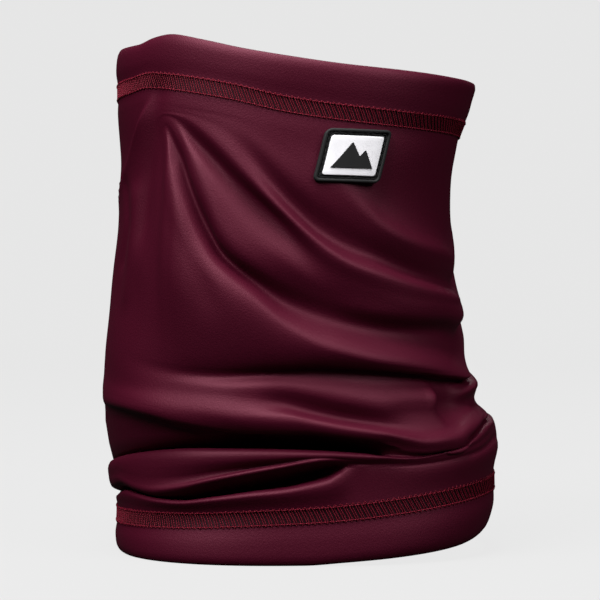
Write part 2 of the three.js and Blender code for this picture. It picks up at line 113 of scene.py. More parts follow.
body_lines = [
    # lower tuck: its front lip, its depth, the underside of the thin roll above it
    [(-3, 27, 0), (-2.2, 26, 0), (-1.6, 20.5, -0.5), (-1.3, 22, 0.3), (-1.1, 25, 1),
     (-0.95, 24.6, 1.5), (-0.8, 23.6, 2), (-0.63, 23.4, 2.2), (-0.46, 25.2, 2.3),
     (-0.28, 27.2, 2.3), (-0.1, 28.8, 2), (0.02, 30.6, 1.8), (0.12, 32.6, 1.5), (0.18, 35.2, 1),
     (0.24, 36.6, 0.6), (0.35, 37, 0.4), (0.6, 37.2, 0.4), (0.95, 39.5, 0.4), (1.3, 43, 0),
     (1.7, 40, 0), (2.4, 31, 0)],
    [(-3, 30, 0), (-2.2, 29, -0.5), (-1.6, 21.6, -2.5), (-1.3, 22.6, -5), (-1.1, 25, -7),
     (-0.95, 24.2, -8), (-0.8, 23.2, -9), (-0.63, 23, -11), (-0.46, 24.6, -13),
     (-0.28, 27, -14), (-0.1, 29.4, -13), (0.02, 32, -11), (0.1, 34.2, -8),
     (0.16, 36.4, -3), (0.21, 38, 0), (0.35, 38, 0.3), (0.6, 38.2, 0), (0.95, 41, -0.4),
     (1.3, 45, -1), (1.7, 43, 0), (2.4, 34, 0)],
    [(-3, 33, 0), (-2.2, 32, 0), (-1.6, 24, 0.8), (-1.3, 26, 1.5), (-1.1, 28.6, 1.8),
     (-0.95, 27.4, 2), (-0.8, 26.4, 2.1), (-0.63, 28, 2), (-0.46, 31, 1.8),
     (-0.28, 34, 1.8), (-0.1, 37, 1.8), (0.02, 39.2, 1.9), (0.1, 40.2, 1.6),
     (0.17, 39.8, 0.9), (0.24, 39.2, 0.4), (0.35, 39, 0.3), (0.6, 39.2, 0.2), (0.95, 42.5, 0),
     (1.3, 47, -0.6), (1.7, 46, 0), (2.4, 38, 0)],
    # the thin roll's upper edge, the groove behind it and the crest of the middle roll
    [(-3, 35, 0), (-2.2, 34, 0), (-1.6, 26.5, 1.5), (-1.3, 28.5, 2), (-1.1, 30.2, 2.2),
     (-0.95, 28.6, 2.3), (-0.8, 27.8, 2.5), (-0.63, 29.8, 2.8), (-0.46, 33, 3.1),
     (-0.28, 36.1, 3.3), (-0.1, 38.8, 3), (0.04, 40.8, 2.4), (0.15, 41, 1.6),
     (0.24, 40.2, 1.1), (0.35, 39.8, 0.8), (0.6, 39.8, 0.4), (0.95, 43.6, 0),
     (1.3, 48.6, -0.4), (1.7, 48, 0), (2.4, 40, 0)],
    [(-3, 37, 0), (-2.2, 35.5, 0), (-1.6, 28, 1.6), (-1.3, 30.5, 2), (-1.1, 32, 2),
     (-0.95, 30.4, 2), (-0.8, 29.8, 1.8), (-0.63, 31.4, 1), (-0.46, 34.4, -0.4),
     (-0.28, 37.4, -0.8), (-0.1, 39.7, 0.4), (0.04, 41.4, 1.8), (0.15, 41.4, 1.6),
     (0.24, 40.7, 1.3), (0.35, 40.2, 1), (0.6, 40.2, 0.5), (0.95, 44.2, 0),
     (1.3, 49.6, -0.2), (1.7, 49.5, 0), (2.4, 42, 0)],
    [(-3, 39, 0), (-2.2, 37, 0), (-1.6, 30, 1.4), (-1.3, 33.5, 2.2), (-1.1, 36, 2.4),
     (-0.95, 36, 2.4), (-0.8, 36, 2.4), (-0.63, 37, 2.2), (-0.46, 38.6, 1.8),
     (-0.28, 40.2, 1.8), (-0.1, 41.5, 2), (0.04, 42.2, 2.1), (0.15, 41.9, 1.9),
     (0.24, 41.3, 1.7), (0.38, 40.7, 1.3), (0.6, 40.6, 0.6), (0.95, 44.8, 0.2),
     (1.3, 50.4, 0), (1.7, 51, 0), (2.4, 44, 0)],
    # upper tuck: its front lip, its depth and the underside of the big roll above it
    [(-3, 41, 0), (-2.2, 38.5, 0), (-1.6, 31.6, 0.8), (-1.48, 33, 1), (-1.2, 37.2, 1.8),
     (-0.9, 41, 2), (-0.64, 43, 1.9), (-0.4, 43.5, 1.8), (-0.19, 43.6, 1.8), (0.05, 43.2, 2),
     (0.2, 42.6, 1.9), (0.39, 41.5, 1.5), (0.48, 40.9, 1), (0.6, 40.9, 0.6), (0.72, 41.9, 0.5),
     (0.85, 42.6, 0.5), (0.94, 45.6, 0.4), (1.14, 50.2, 0.4), (1.35, 51.2, 0.2),
     (1.7, 52.5, 0), (2.4, 46, 0)],
    [(-3, 44, -1.5), (-2.2, 41, -1.5), (-1.6, 32.4, -3), (-1.48, 33, -4), (-1.2, 36.4, -8),
     (-0.9, 39.6, -12), (-0.64, 41.4, -15), (-0.4, 41.8, -16), (-0.19, 41.8, -16),
     (0.05, 41.8, -16), (0.2, 41.6, -14), (0.3, 41.8, -11), (0.35, 42, -6),
     (0.4, 42.2, -1.4), (0.47, 42, -0.2), (0.6, 41.4, -0.6), (0.72, 42.3, -1), (0.85, 43.2, -1.6),
     (0.94, 46.4, -2.6), (1.14, 51, -3), (1.35, 52.4, -2.5), (1.7, 55, -1), (2.4, 49, -1.5)],
    [(-3, 48, 0), (-2.2, 45, 0), (-1.6, 35.5, 0.3), (-1.48, 35.6, 0), (-1.2, 40, -0.3),
     (-0.9, 44.4, -0.6), (-0.64, 47.8, -1), (-0.46, 49.6, -0.5), (-0.28, 50.5, -0.2),
     (-0.09, 50.2, 0), (0.05, 50.1, 0), (0.2, 48.8, 0.4), (0.33, 47.3, 0.8), (0.42, 45.8, 1),
     (0.49, 44, 0.9), (0.6, 42.6, 0.7), (0.72, 43.2, 0.6), (0.85, 44.4, 0.4),
     (0.94, 48, 0.2), (1.14, 52.8, 0.4), (1.35, 54.4, 0.6), (1.7, 58, 0.5), (2.4, 53, 0.5)],
    # the big roll: beneath its lip, its lip and its crest, which a smaller roll carries on
    [(-3, 53, 0.8), (-2.2, 53, 0.5), (-1.6, 57.6, 0.3), (-1.45, 58, 0.2), (-0.96, 57.6, 0.4),
     (-0.72, 55.4, 0.8), (-0.62, 53.6, 1), (-0.5, 52.2, 1), (-0.38, 51.2, 1.1),
     (-0.28, 50.9, 1.2), (-0.09, 50.6, 1.5), (0.05, 50.4, 1.5), (0.2, 49.2, 1.8),
     (0.33, 47.8, 1.8), (0.42, 46, 1.5), (0.49, 44.7, 1.1), (0.6, 43.3, 1.1),
     (0.72, 44, 1), (0.85, 45.2, 0.7), (0.94, 48.6, 0.6), (1.14, 53.6, 1), (1.35, 55.8, 0.8),
     (1.7, 59.4, 0.3), (2.4, 55.5, 0.6)],
    [(-3, 57, 1.5), (-2.2, 60, 1.2), (-1.6, 59.2, 0), (-1.45, 59.6, 0.4), (-0.96, 59.3, 2.4),
     (-0.72, 57.3, 3.4), (-0.62, 55.4, 3.6), (-0.5, 53.6, 3.7), (-0.38, 52.2, 3.4),
     (-0.28, 51.2, 2.8), (-0.09, 50.9, 2.8), (0.05, 50.7, 2.9), (0.2, 49.5, 3), (0.33, 48.2, 2.6),
     (0.42, 46.8, 1.8), (0.49, 45.4, 1.3), (0.6, 43.9, 1.2), (0.72, 44.6, 1.2),
     (0.85, 46, 1), (0.94, 49.2, 0.9), (1.14, 54.4, 1.4), (1.35, 57, 1.2), (1.7, 61, 0.3),
     (2.4, 58, 1.2)],
    [(-3, 64, 2.2), (-2.2, 66, 1.2), (-1.6, 65, 0.6), (-1, 64, 1.8), (-0.68, 61.6, 3.4),
     (-0.5, 59, 4.2), (-0.28, 56.6, 4.8), (-0.15, 57, 4.8), (0, 57.4, 4.8), (0.1, 55.6, 4.7),
     (0.2, 53.8, 4.5), (0.33, 51.9, 4.1), (0.42, 50.6, 3.7), (0.5, 49, 2.8), (0.6, 47.2, 2.2),
     (0.72, 47.6, 1.9), (0.85, 49, 1.3), (0.94, 52, 1), (1.14, 57, 1.6), (1.35, 60, 1),
     (1.7, 65, 0.3), (2.4, 64, 1.8)],
    # the trough behind it on the right, and the flat facet above the trough
    [(-3, 72, 1), (-2.2, 73, 0.6), (-1.6, 71, 0.2), (-1, 68, 0.8), (-0.6, 66.5, 1.8),
     (-0.35, 65, 2.4), (-0.16, 63.6, 1.8), (-0.03, 62, 0), (0.12, 58.8, -0.8),
     (0.28, 55.6, -1), (0.45, 53.4, -1), (0.6, 51.8, -0.8), (0.75, 51.6, -0.8),
     (0.9, 53.4, -1), (1, 56.6, -0.4), (1.14, 61, 1), (1.35, 64.5, 0.8), (1.7, 70, 0.2),
     (2.4, 71, 1.2)],
    [(-3, 80, 0), (-2.2, 80, 0), (-1.6, 77, 0), (-1, 73, 0.2), (-0.6, 70, 0.9),
     (-0.3, 69, 1.4), (-0.12, 69, 1.4), (0, 68.6, 1), (0.14, 66.5, 1.4), (0.3, 63.6, 2),
     (0.47, 61, 2), (0.62, 62, 1.4), (0.72, 62, 1.8), (0.79, 61.8, 2.4), (0.84, 61.8, -1.4),
     (0.96, 62.5, -2), (1.06, 64.4, 0.4), (1.2, 67, 2), (1.4, 69, 1.4), (1.7, 75, 0.2),
     (2.4, 78, 0.3)],
    # first diagonal fold: the crease under it, its lower edge, its crest and the groove above
    [(-3, 88, -1.5), (-2.2, 88, -0.5), (-1.6, 85, 0), (-1, 79, 0), (-0.6, 74.2, -0.2),
     (-0.45, 73.2, -0.6), (-0.3, 72.8, -1), (0, 74.2, -1.4), (0.2, 75, -1.6),
     (0.45, 74.1, -1.8), (0.74, 71.8, -2.2), (0.98, 69.4, -2.6), (1.2, 68.4, -2),
     (1.4, 72.4, -1.4), (1.7, 80, -0.6), (2.4, 87, -1.5)],
    [(-3, 92, 0), (-2.2, 93, 0), (-1.6, 90, 0), (-1, 84, 0), (-0.6, 78, 0.2), (-0.3, 76.6, 0.6),
     (0, 76.5, 1.2), (0.2, 76.9, 1.8), (0.45, 75.6, 2.4), (0.74, 73.3, 2.7), (0.98, 71.3, 2.8),
     (1.2, 70.4, 2.6), (1.4, 75, 1), (1.7, 84, 0.3), (2.4, 91, 0.3)],
    [(-3, 101, 2), (-2.2, 104, 0.5), (-1.6, 106, 0), (-1, 113, 0), (-0.8, 132, 0.2),
     (-0.68, 166, 0.6), (-0.59, 152, 2.4), (-0.5, 138, 3), (-0.43, 126.5, 3.4),
     (-0.35, 117.5, 3.8), (-0.25, 110, 4), (-0.13, 102.5, 4.2), (0.02, 92, 4.4),
     (0.17, 84.8, 4.4), (0.3, 81.4, 4.3), (0.45, 78.4, 4.1), (0.62, 76.4, 3.9), (0.9, 73.8, 3.6),
     (1.2, 72.4, 3), (1.4, 79, 1.6), (1.7, 92, 1), (2.4, 100, 1.5)],
    [(-3, 108, 0), (-2.2, 114, 0), (-1.6, 117, 0), (-1, 124, 0), (-0.8, 145, 0),
     (-0.68, 168.5, 0.3), (-0.58, 158, -0.6), (-0.53, 149, -1.4), (-0.44, 134.5, -2),
     (-0.38, 126.5, -2.3), (-0.33, 120.6, -2.4), (-0.25, 115, -2.3), (-0.17, 110.4, -2.4),
     (0, 101.8, -2.7), (0.24, 95, -2.8), (0.42, 91.6, -2.9), (0.64, 89.6, -3),
     (0.96, 88.4, -2.7), (1.2, 86.5, -1.6), (1.45, 91, -0.6), (1.7, 98, 0), (2.4, 106, 0)],
    # the lip above the groove, and the broad slope from it up to the second fold
    [(-3, 118, 0.5), (-2.2, 124, 0.5), (-1.6, 129, 0), (-1, 135, 0), (-0.8, 153, 0),
     (-0.68, 170, 0.3), (-0.56, 162.5, 0.6), (-0.48, 150.5, 1.2), (-0.41, 140.5, 1.5),
     (-0.36, 132.5, 1.7), (-0.32, 126.4, 1.9), (-0.25, 120.6, 2), (-0.17, 116.4, 1.5),
     (0, 109.6, 0.3), (0.2, 103, -0.8), (0.42, 98, 0.2), (0.64, 95.6, 1.2), (0.96, 94.8, 2),
     (1.2, 93.6, 2.4), (1.45, 96, 1.6), (1.7, 103, 0.4), (2.4, 112, 0.5)],
    [(-3, 124, 0.5), (-2.2, 130, 0.3), (-1.6, 135, 0), (-1, 140, 0), (-0.8, 158, 0),
     (-0.68, 171.5, 0.2), (-0.57, 167, 0.6), (-0.46, 157, 1.2), (-0.36, 147, 1.2),
     (-0.28, 138, 1.3), (-0.2, 130, 1.6), (-0.12, 124.4, 1.8), (0.02, 117.4, 1.8),
     (0.2, 107.6, 0.4), (0.42, 102.6, 1.2), (0.64, 99.2, 2.2), (0.96, 97.6, 2.6),
     (1.2, 96.6, 2.6), (1.45, 98.5, 1.6), (1.7, 106, 0.4), (2.4, 116, 0.3)],
    # second diagonal fold: the furrow left of it, its crest and the furrow above
    [(-3, 129, 0.3), (-2.2, 137, 0), (-1.6, 141, 0), (-1, 146, 0), (-0.8, 163, 0),
     (-0.7, 172.6, 0), (-0.6, 171.4, -0.3), (-0.49, 163, -1.6), (-0.35, 153, -2),
     (-0.22, 144.4, -2), (-0.09, 136.4, -1.7), (0, 130, -0.8), (0.1, 122, 0.6),
     (0.22, 114, 1.5), (0.42, 107.4, 2.2), (0.64, 102.8, 2.7), (0.96, 100, 2.8),
     (1.2, 98.8, 2.4), (1.45, 101, 1.2), (1.7, 109, 0.3), (2.4, 121, 0)],
    [(-3, 135, 1), (-2.2, 147, 0.5), (-1.6, 152, 0), (-1, 154, 0), (-0.8, 168, 0),
     (-0.7, 173.6, 0.2), (-0.58, 172.8, 0.8), (-0.45, 167.2, 1.2), (-0.3, 157, 1.7),
     (-0.2, 150, 2), (-0.09, 142, 2.3), (0.03, 133.4, 2.8), (0.13, 126.6, 3),
     (0.24, 120, 3.1), (0.34, 115.6, 3.2), (0.5, 111.4, 3.3), (0.72, 107, 3.3),
     (0.95, 103.8, 3), (1.2, 101.6, 2.4), (1.45, 103.4, 0.4), (1.7, 113, 0.3), (2.4, 126, 1)],
    [(-3, 142, 0), (-2.2, 156, 0), (-1.6, 160, 0), (-1, 161, 0), (-0.8, 172, 0),
     (-0.7, 174.4, 0), (-0.55, 173.4, 0.4), (-0.4, 169.8, 0.9), (-0.28, 164.4, 1.2),
     (-0.19, 157.4, 0.6), (-0.1, 149, -0.4), (-0.01, 141.6, -1.2), (0.07, 135.6, -1.6),
     (0.17, 128.8, -1.8), (0.32, 122.2, -2), (0.48, 118.2, -1.9), (0.66, 113.4, -1.8),
     (0.95, 109, -1.6), (1.2, 107, -1.5), (1.45, 107.6, -1.4), (1.7, 118, 0), (2.4, 133, 0)],
    # above it the cloth rises again, to a low ridge from the badge to the right
    [(-3, 148, 0.4), (-2.2, 161, 0.2), (-1.6, 165, 0), (-1, 167, 0), (-0.8, 175, 0),
     (-0.7, 175.8, 0), (-0.55, 174.4, 0.3), (-0.38, 171.4, 0.8), (-0.24, 166.4, 1.2),
     (-0.13, 159.4, 1.1), (0, 150, 0.7), (0.12, 142.4, 0.5), (0.22, 137.4, 0.6),
     (0.37, 130.6, 0.6), (0.55, 123.4, 0.5), (0.8, 117, 0.4), (1.2, 113, 0.2),
     (1.45, 112.6, 0), (1.7, 124, 0), (2.4, 139, 0.2)],
    [(-3, 154, 0.3), (-2.2, 166, 0.2), (-1.6, 170, 0), (-1, 172, 0), (-0.8, 178, 0),
     (-0.7, 177.4, 0), (-0.5, 175.4, 0.1), (-0.3, 171.6, 0.4), (-0.15, 166, 0.8),
     (0, 158.6, 0.5), (0.14, 151, 0.6), (0.26, 144.6, 1.1), (0.39, 136.6, 1.6),
     (0.53, 129, 1.7), (0.72, 123.6, 1.7), (1, 120, 1.6), (1.3, 118.6, 0.8), (1.7, 130, 0.4),
     (2.4, 146, 0.5)],
    [(-3, 160, 0), (-2.2, 170, 0), (-1.6, 174, 0), (-1, 176, 0), (-0.8, 180, 0),
     (-0.7, 179, 0), (-0.5, 177, 0.2), (-0.3, 174.4, 0.3), (-0.15, 170.4, 0.3),
     (0, 163.6, 0.3), (0.14, 157.4, 0.3), (0.28, 151.4, 0.1), (0.4, 143.8, -0.3),
     (0.54, 135.4, -0.6), (0.73, 129.4, -0.8), (1, 126, -0.8), (1.3, 125, -0.5), (1.7, 137, 0),
     (2.4, 152, 0)],
]


def cubic(near, far, slope_near, slope_far, span, t):
    """A cubic from one knot to the next, a share t of the way along a span, which leaves the
    near knot and reaches the far one with the given slopes."""
    return (
        near * (1 + 2 * t) * (1 - t) ** 2
        + far * t**2 * (3 - 2 * t)
        + slope_near * span * t * (1 - t) ** 2
        - slope_far * span * t**2 * (1 - t)
    )


def line_at(line, angle):
    """Height and stand-out of a fold line at each angle: a cubic through its points that closes
    round the tube, whose slope at a point is that of the chord between its two neighbours."""
    points = np.array(line, float)
    turns = [points + (turn * 2 * math.pi, 0, 0) for turn in (-1, 0, 1)]
    stations, values = np.split(np.concatenate(turns), [1], axis=1)
    stations = stations[:, 0]
    slope = np.gradient(values, axis=0) * 2
    slope = slope / (np.gradient(stations) * 2)[:, None]
    angle = (np.asarray(angle, float) + math.pi) % (2 * math.pi) - math.pi
    i = np.clip(np.searchsorted(stations, angle) - 1, 0, len(stations) - 2)
    span = (stations[i + 1] - stations[i])[..., None]
    t = ((angle - stations[i])[..., None]) / span
    return cubic(values[i], values[i + 1], slope[i], slope[i + 1], span, t)


def profile_knots(angle):
    """The cloth's profile at each angle as rows of (height, stand-out): from the lower hem's cut
    edge down the inside, round the rim, up through the fold lines, and over the upper rim to its
    cut edge. The body's stand-outs are multiplied by RELIEF, and fade to about an eighth as
    they near the upper hem."""
    low, high = line_at(lower_rim, angle), line_at(upper_rim, angle)
    low_seam, high_seam = line_at(lower_stitch, angle), line_at(upper_stitch, angle)
    half = HEM_STACK_MM / 2
    dimpled = -HEM_STACK_MM + HEM_DIMPLE_MM
    middle_low, middle_high = (low + low_seam) / 2, (high + high_seam) / 2
    body = [line_at(line, angle) * (1, RELIEF) for line in body_lines]
    for k, line in enumerate(body):  # lines that run together under the hem stay in order
        ceiling = high_seam[..., 0] - 5.8 - 0.9 * (len(body) - 1 - k)
        line[..., 0] = ceiling - np.logaddexp(0, (ceiling - line[..., 0]) / 0.4) * 0.4
        line[..., 1] *= 0.12 + 0.88 * smooth((high_seam[..., 0] - 6 - line[..., 0]) / 21)
    rows = [
        # up to the lower rim inside, from the hem's cut edge
        low_seam + (STITCH_GAUGE_MM + HEM_MARGIN_MM, -HEM_STACK_MM),
        low_seam + (0, dimpled),
        middle_low + (0, -HEM_STACK_MM),
        # round the rim, which is half a circle, and up the hem's outer layer
        low + (half, -HEM_STACK_MM),
        low + (0, -half),
        low + (half, 0),
        middle_low + (0, 0.7),
        low_seam,
        low_seam + (STITCH_GAUGE_MM, 0),
        # the body between the hems, and the upper hem's outer layer
        *body,
        high_seam + (-5, 0.3),
        high_seam,
        high_seam + (STITCH_GAUGE_MM, 0),
        middle_high + (2, 0.8),
        # round the upper rim and down to the cut edge inside
        high + (-half, 0),
        high + (0, -half),
        high + (-half, -HEM_STACK_MM),
        middle_high + (0, -HEM_STACK_MM),
        high_seam + (STITCH_GAUGE_MM, dimpled),
        high_seam + (-HEM_MARGIN_MM, -HEM_STACK_MM),
    ]
    return np.stack(rows)


LOWER_STITCH_ROW = 7  # rows of profile_knots that the stitching follows
UPPER_STITCH_ROW = 10 + len(body_lines)
KNOTS = 19 + len(body_lines)  # rows in each profile


def cloth(angle, along):
    """A point of the cloth's outer face. angle goes round the tube, and along counts the
    profile's knots. Each profile is a cubic through its knots, with slopes weighted by the
    distances between them. The left lip and the ripples are added to how far it stands out,
    and a bell-shaped groove is taken off along the back seam."""
    angle, along = np.broadcast_arrays(np.asarray(angle, float), np.asarray(along, float))
    flat_angle, flat_along = angle.ravel(), along.ravel()
    stations, where = np.unique(np.round(flat_angle, 7), return_inverse=True)
    knots = profile_knots(stations)
    step = np.diff(knots, axis=0)
    size = np.maximum(np.linalg.norm(step, axis=2, keepdims=True), 0.05) ** 0.8
    pace = step / size
    inner = (pace[:-1] * size[1:] + pace[1:] * size[:-1]) / (size[:-1] + size[1:])
    slope = np.concatenate([pace[:1], inner, pace[-1:]])
    i = np.clip(np.floor(flat_along).astype(int), 0, len(knots) - 2)
    t = (flat_along - i)[:, None]
    span = size[i, where]
    point = cubic(
        knots[i, where], knots[i + 1, where], slope[i, where], slope[i + 1, where], span, t
    )
    height, out = point[:, 0], point[:, 1]
    from_front = np.abs((flat_angle + math.pi) % (2 * math.pi) - math.pi)
    to_seam = (math.pi - from_front) * TUBE_RADIUS_MM
    out = out + left_lip(flat_angle, height) + ripples(flat_angle, height)
    out = out - SEAM_GROOVE_MM * np.exp(-((to_seam / SEAM_GROOVE_WIDE_MM) ** 2))
    return tube_point(flat_angle, height, out).reshape(*angle.shape, 3)


def tube_point(angle, height, out):
    """A point that stands out mm off the plain tube at an angle and a height in mm. The tube's
    section is a superellipse whose centre, half widths and power change with height."""
    left, right = edges_at(height)
    up = height / 200
    half_wide = (right - left) / 2
    half_deep = DEPTH_LOW_MM + (DEPTH_HIGH_MM - DEPTH_LOW_MM) * up
    power = 2.28 + 0.12 * up + 0.35 * np.exp(-((height / 18) ** 2))
    sine, cosine = np.sin(angle), np.cos(angle)
    reach = np.abs(sine / half_wide) ** power + np.abs(cosine / half_deep) ** power
    radius = reach ** (-1 / power) + out
    x = (left + right) / 2 + radius * sine
    y = FORWARD_MM - radius * cosine
    return np.stack([x, y, height], axis=-1) / 1000


def smooth(t):
    """An eased step from 0 to 1 as t goes from 0 to 1: three t squared less two t cubed."""
    t = np.clip(t, 0, 1)
    return t * t * (3 - 2 * t)


def edges_at(height):
    """The tube's left and right edges at a height: a cubic through the outline's points, with
    the slope of the chord between each point's neighbours."""
    heights, edges = outline_mm[:, 0], outline_mm[:, 1:]
    slope = np.gradient(edges, heights, axis=0)
    height = np.clip(height, heights[0], heights[-1])
    i = np.clip(np.searchsorted(heights, height) - 1, 0, len(heights) - 2)
    span = (heights[i + 1] - heights[i])[..., None]
    t = (height - heights[i])[..., None] / span
    value = cubic(edges[i], edges[i + 1], slope[i], slope[i + 1], span, t)
    return value[..., 0], value[..., 1]


def left_lip(angle, height):
    """A fold's edge at the upper left: the cloth stands out on the front side of a curved line
    that runs down and back from the hem, steps down behind it within 2.4 mm, and dies away in
    front of it as an exponential."""
    heights = [130, 143, 156, 167.5, 179, 186]
    edge = np.interp(height, heights, [-1.6, -1.3, -1.04, -0.91, -0.81, -0.76])
    ahead = (angle - edge) * TUBE_RADIUS_MM
    strength = smooth((height - 135) / 20) * smooth((184 - height) / 14)
    near = smooth((ahead + 1.2) / 2.4) * np.exp(-np.maximum(ahead, 0) / 9)
    return 2.3 * strength * near


def upright_fold(angle, height, heights, at_angles, width, rise):
    """A fold that runs up the tube: a bell across a line given as angles at some heights,
    width mm wide and rise mm high, that fades out over the line's last sixth at each end."""
    middle = np.interp(height, heights, at_angles)
    ends = (height - heights[0]) / (heights[-1] - heights[0])
    fade = smooth(ends * 6) * smooth((1 - ends) * 6)
    return rise * fade * np.exp(-(((angle - middle) * TUBE_RADIUS_MM / width) ** 2))


def ripples(angle, height):
    """Slight unevenness of stretched cloth: two crossing sine waves a few tenths of a millimetre
    high on the body, the soft upright folds of the left side, and slow waves round the upper
    hem."""
    calm = smooth((height - 24) / 20) * smooth((178 - height) / 25)
    slow = np.sin(2 * angle + 0.7) + np.sin(3 * angle + 2.1)
    rising = np.sin(0.11 * height + 5 * angle + 1.3 * slow)
    falling = np.sin(0.19 * height - 2 * angle + 4 + slow)
    folds = [  # heights, the angles there, width, rise
        ([92, 110, 119, 138, 150, 176], [-0.3, -0.38, -0.46, -0.6, -0.67, -0.72], 5, -1.3),
        ([96, 115, 131, 150], [-1.0, -0.93, -0.91, -0.92], 5, 1.0),
        ([110, 131, 142, 152], [-1.1, -1.0, -1.05, -1.1], 4, -0.8),
        ([118, 140, 160, 192], [-0.82, -0.8, -0.78, -0.72], 5, -1.5),
    ]
    upright = sum(upright_fold(angle, height, *fold) for fold in folds)
    hem = 0.5 * smooth((height - 180) / 14) * np.sin(4 * angle + 1.1 + 0.8 * np.sin(3 * angle))
    return 0.25 * calm * (rising + 0.6 * falling) + upright + hem


def new_object(name, vertices, faces, smooth_faces=True):
    """A mesh object at the origin from arrays of points and of triangles or quads."""
    mesh = bpy.data.meshes.new(name)
    mesh.from_pydata(vertices.tolist(), [], faces.tolist())
    mesh.validate()
    if smooth_faces:
        mesh.shade_smooth()
    made = bpy.data.objects.new(name, mesh)
    bpy.context.collection.objects.link(made)
    return made


def grid_faces(rows, columns, close_rows=False, close_columns=False):
    """Quads of a grid whose points run row by row. Closing joins the last row or column to the
    first."""
    i = np.arange(rows if close_rows else rows - 1)[:, None]
    j = np.arange(columns if close_columns else columns - 1)[None, :]
    next_i, next_j = (i + 1) % rows, (j + 1) % columns
    corners = [(i, j), (i, next_j), (next_i, next_j), (next_i, j)]
    return np.stack([row * columns + column for row, column in corners], axis=-1).reshape(-1, 4)


def panel_rows():
    """Where the panel's rows lie along the profile: from 2 to 9 of them from each knot to the
    next, about 1.9 mm apart on the front, and 3 in each of the hems' hidden spans."""
    knots = profile_knots(np.linspace(-1.2, 1.2, 25))
    length = np.linalg.norm(np.diff(knots, axis=0), axis=2).mean(axis=1)
    counts = np.clip(np.ceil(length / 1.9), 2, 9).astype(int)
    counts[[0, 1, 2, -3, -2, -1]] = 3
    return np.concatenate([i + np.arange(n) / n for i, n in enumerate(counts)] + [[len(counts)]])


def panel_columns():
    """The angles of the panel's columns, from a straight line and a cube added together, so
    that they lie closer together on the folded front than at the back."""
    spread = np.arange(COLUMNS) / COLUMNS * 2 - 1
    return math.pi * (0.62 * spread + 0.38 * spread**3)


rows = panel_rows()
points = cloth(panel_columns()[None, :], rows[:, None]).reshape(-1, 3)
panel = new_object("fabric_panel_knit", points, grid_faces(len(rows), COLUMNS, close_columns=True))
# painted shade: a mask of the two stitched bands, where the knit's colour is darkened
in_band = [(rows >= row) & (rows <= row + 1) for row in (LOWER_STITCH_ROW, UPPER_STITCH_ROW)]
painted_shade_mask = np.repeat((in_band[0] | in_band[1]).astype(np.float32), COLUMNS)
painted_stitch_shade = panel.data.attributes.new("painted_stitch_shade", "FLOAT", "POINT")
painted_stitch_shade.data.foreach_set("value", painted_shade_mask)
wall = panel.modifiers.new("thickness", "SOLIDIFY")
wall.thickness = CLOTH_THICKNESS
wall.offset = -1


def new_material(name, **values):
    """A material whose Principled shader has the given plain values, each named as its socket
    with underscores for spaces."""
    made = bpy.data.materials.new(name)
    made.use_nodes = True
    shader = made.node_tree.nodes["Principled BSDF"]
    for socket, value in values.items():
        shader.inputs[socket.replace("_", " ")].default_value = value
    return made, made.node_tree.nodes, made.node_tree.links, shader


def color_mix(nodes, first, second):
    """A node that mixes the first colour into the second, as its factor and its colour."""
    made = nodes.new("ShaderNodeMix")
    made.data_type = "RGBA"
    made.inputs[6].default_value = (*first, 1)  # the node's sockets A and B for colours
    made.inputs[7].default_value = (*second, 1)
    return made.inputs["Factor"], made.outputs[2]


def add_bump(nodes, links, shader, height, strength, distance):
    """Tilts a shader's normal by the slope of a height."""
    bump = nodes.new("ShaderNodeBump")
    bump.inputs["Strength"].default_value = strength
    bump.inputs["Distance"].default_value = distance
    links.new(height, bump.inputs["Height"])
    links.new(bump.outputs["Normal"], shader.inputs["Normal"])


# Grain group: fine speckle in object space, which the knit and the rubber use at their own scales.
grain_group = bpy.data.node_groups.new("fine_grain", "ShaderNodeTree")
for socket, value in (("Scale", 1000), ("Amount", 1)):
    made = grain_group.interface.new_socket(socket, in_out="INPUT", socket_type="NodeSocketFloat")
    made.default_value = value
grain_group.interface.new_socket("Height", in_out="OUTPUT", socket_type="NodeSocketFloat")
inside, outside = grain_group.nodes.new("NodeGroupInput"), grain_group.nodes.new("NodeGroupOutput")
place = grain_group.nodes.new("ShaderNodeTexCoord")
speckle = grain_group.nodes.new("ShaderNodeTexNoise")
speckle.inputs["Detail"].default_value = 3
speckle.inputs["Roughness"].default_value = 0.6
weight = grain_group.nodes.new("ShaderNodeMath")
weight.operation = "MULTIPLY"
grain_group.links.new(place.outputs["Object"], speckle.inputs["Vector"])
grain_group.links.new(inside.outputs["Scale"], speckle.inputs["Scale"])
grain_group.links.new(speckle.outputs["Fac"], weight.inputs[0])
grain_group.links.new(inside.outputs["Amount"], weight.inputs[1])
grain_group.links.new(weight.outputs[0], outside.inputs["Height"])

# Burgundy yarn with a satin face: a rosy gloss, fine grain as bump, and painted shade in the stitched
# bands.
knit, nodes, links, shader = new_material(
    "burgundy_knit", Roughness=0.56, Specular_IOR_Level=0.4, Specular_Tint=(1.0, 0.36, 0.48, 1)
)
grain = nodes.new("ShaderNodeGroup")
grain.node_tree = grain_group
grain.inputs["Scale"].default_value = 1500
add_bump(nodes, links, shader, grain.outputs["Height"], 0.6, 0.0002)
# painted shade: the cloth between the needle lines, which lies in the thread's shade, is coloured
# darker
shade = nodes.new("ShaderNodeAttribute")
shade.attribute_name = "painted_stitch_shade"
band_edge = nodes.new("ShaderNodeMapRange")
band_edge.inputs["From Min"].default_value = 0.7
factor, burgundy = color_mix(nodes, (0.037, 0.0003, 0.007), (0.004, 0.0002, 0.0007))
links.new(shade.outputs["Fac"], band_edge.inputs["Value"])
links.new(band_edge.outputs["Result"], factor)
links.new(burgundy, shader.inputs["Base Color"])
panel.data.materials.append(knit)
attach(panel, "root")
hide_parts("fabric_panel")

# ---------------------------------------------------------------------------------------------
# Hem stitching. A 5.6 mm two-needle cover stitch in bulky crimson polyester holds each hem: two
# straight lines of needle stitches, a cover thread that zigzags over both of them on the face,
# and a looper thread that swings from one to the other on the inside.
# ---------------------------------------------------------------------------------------------

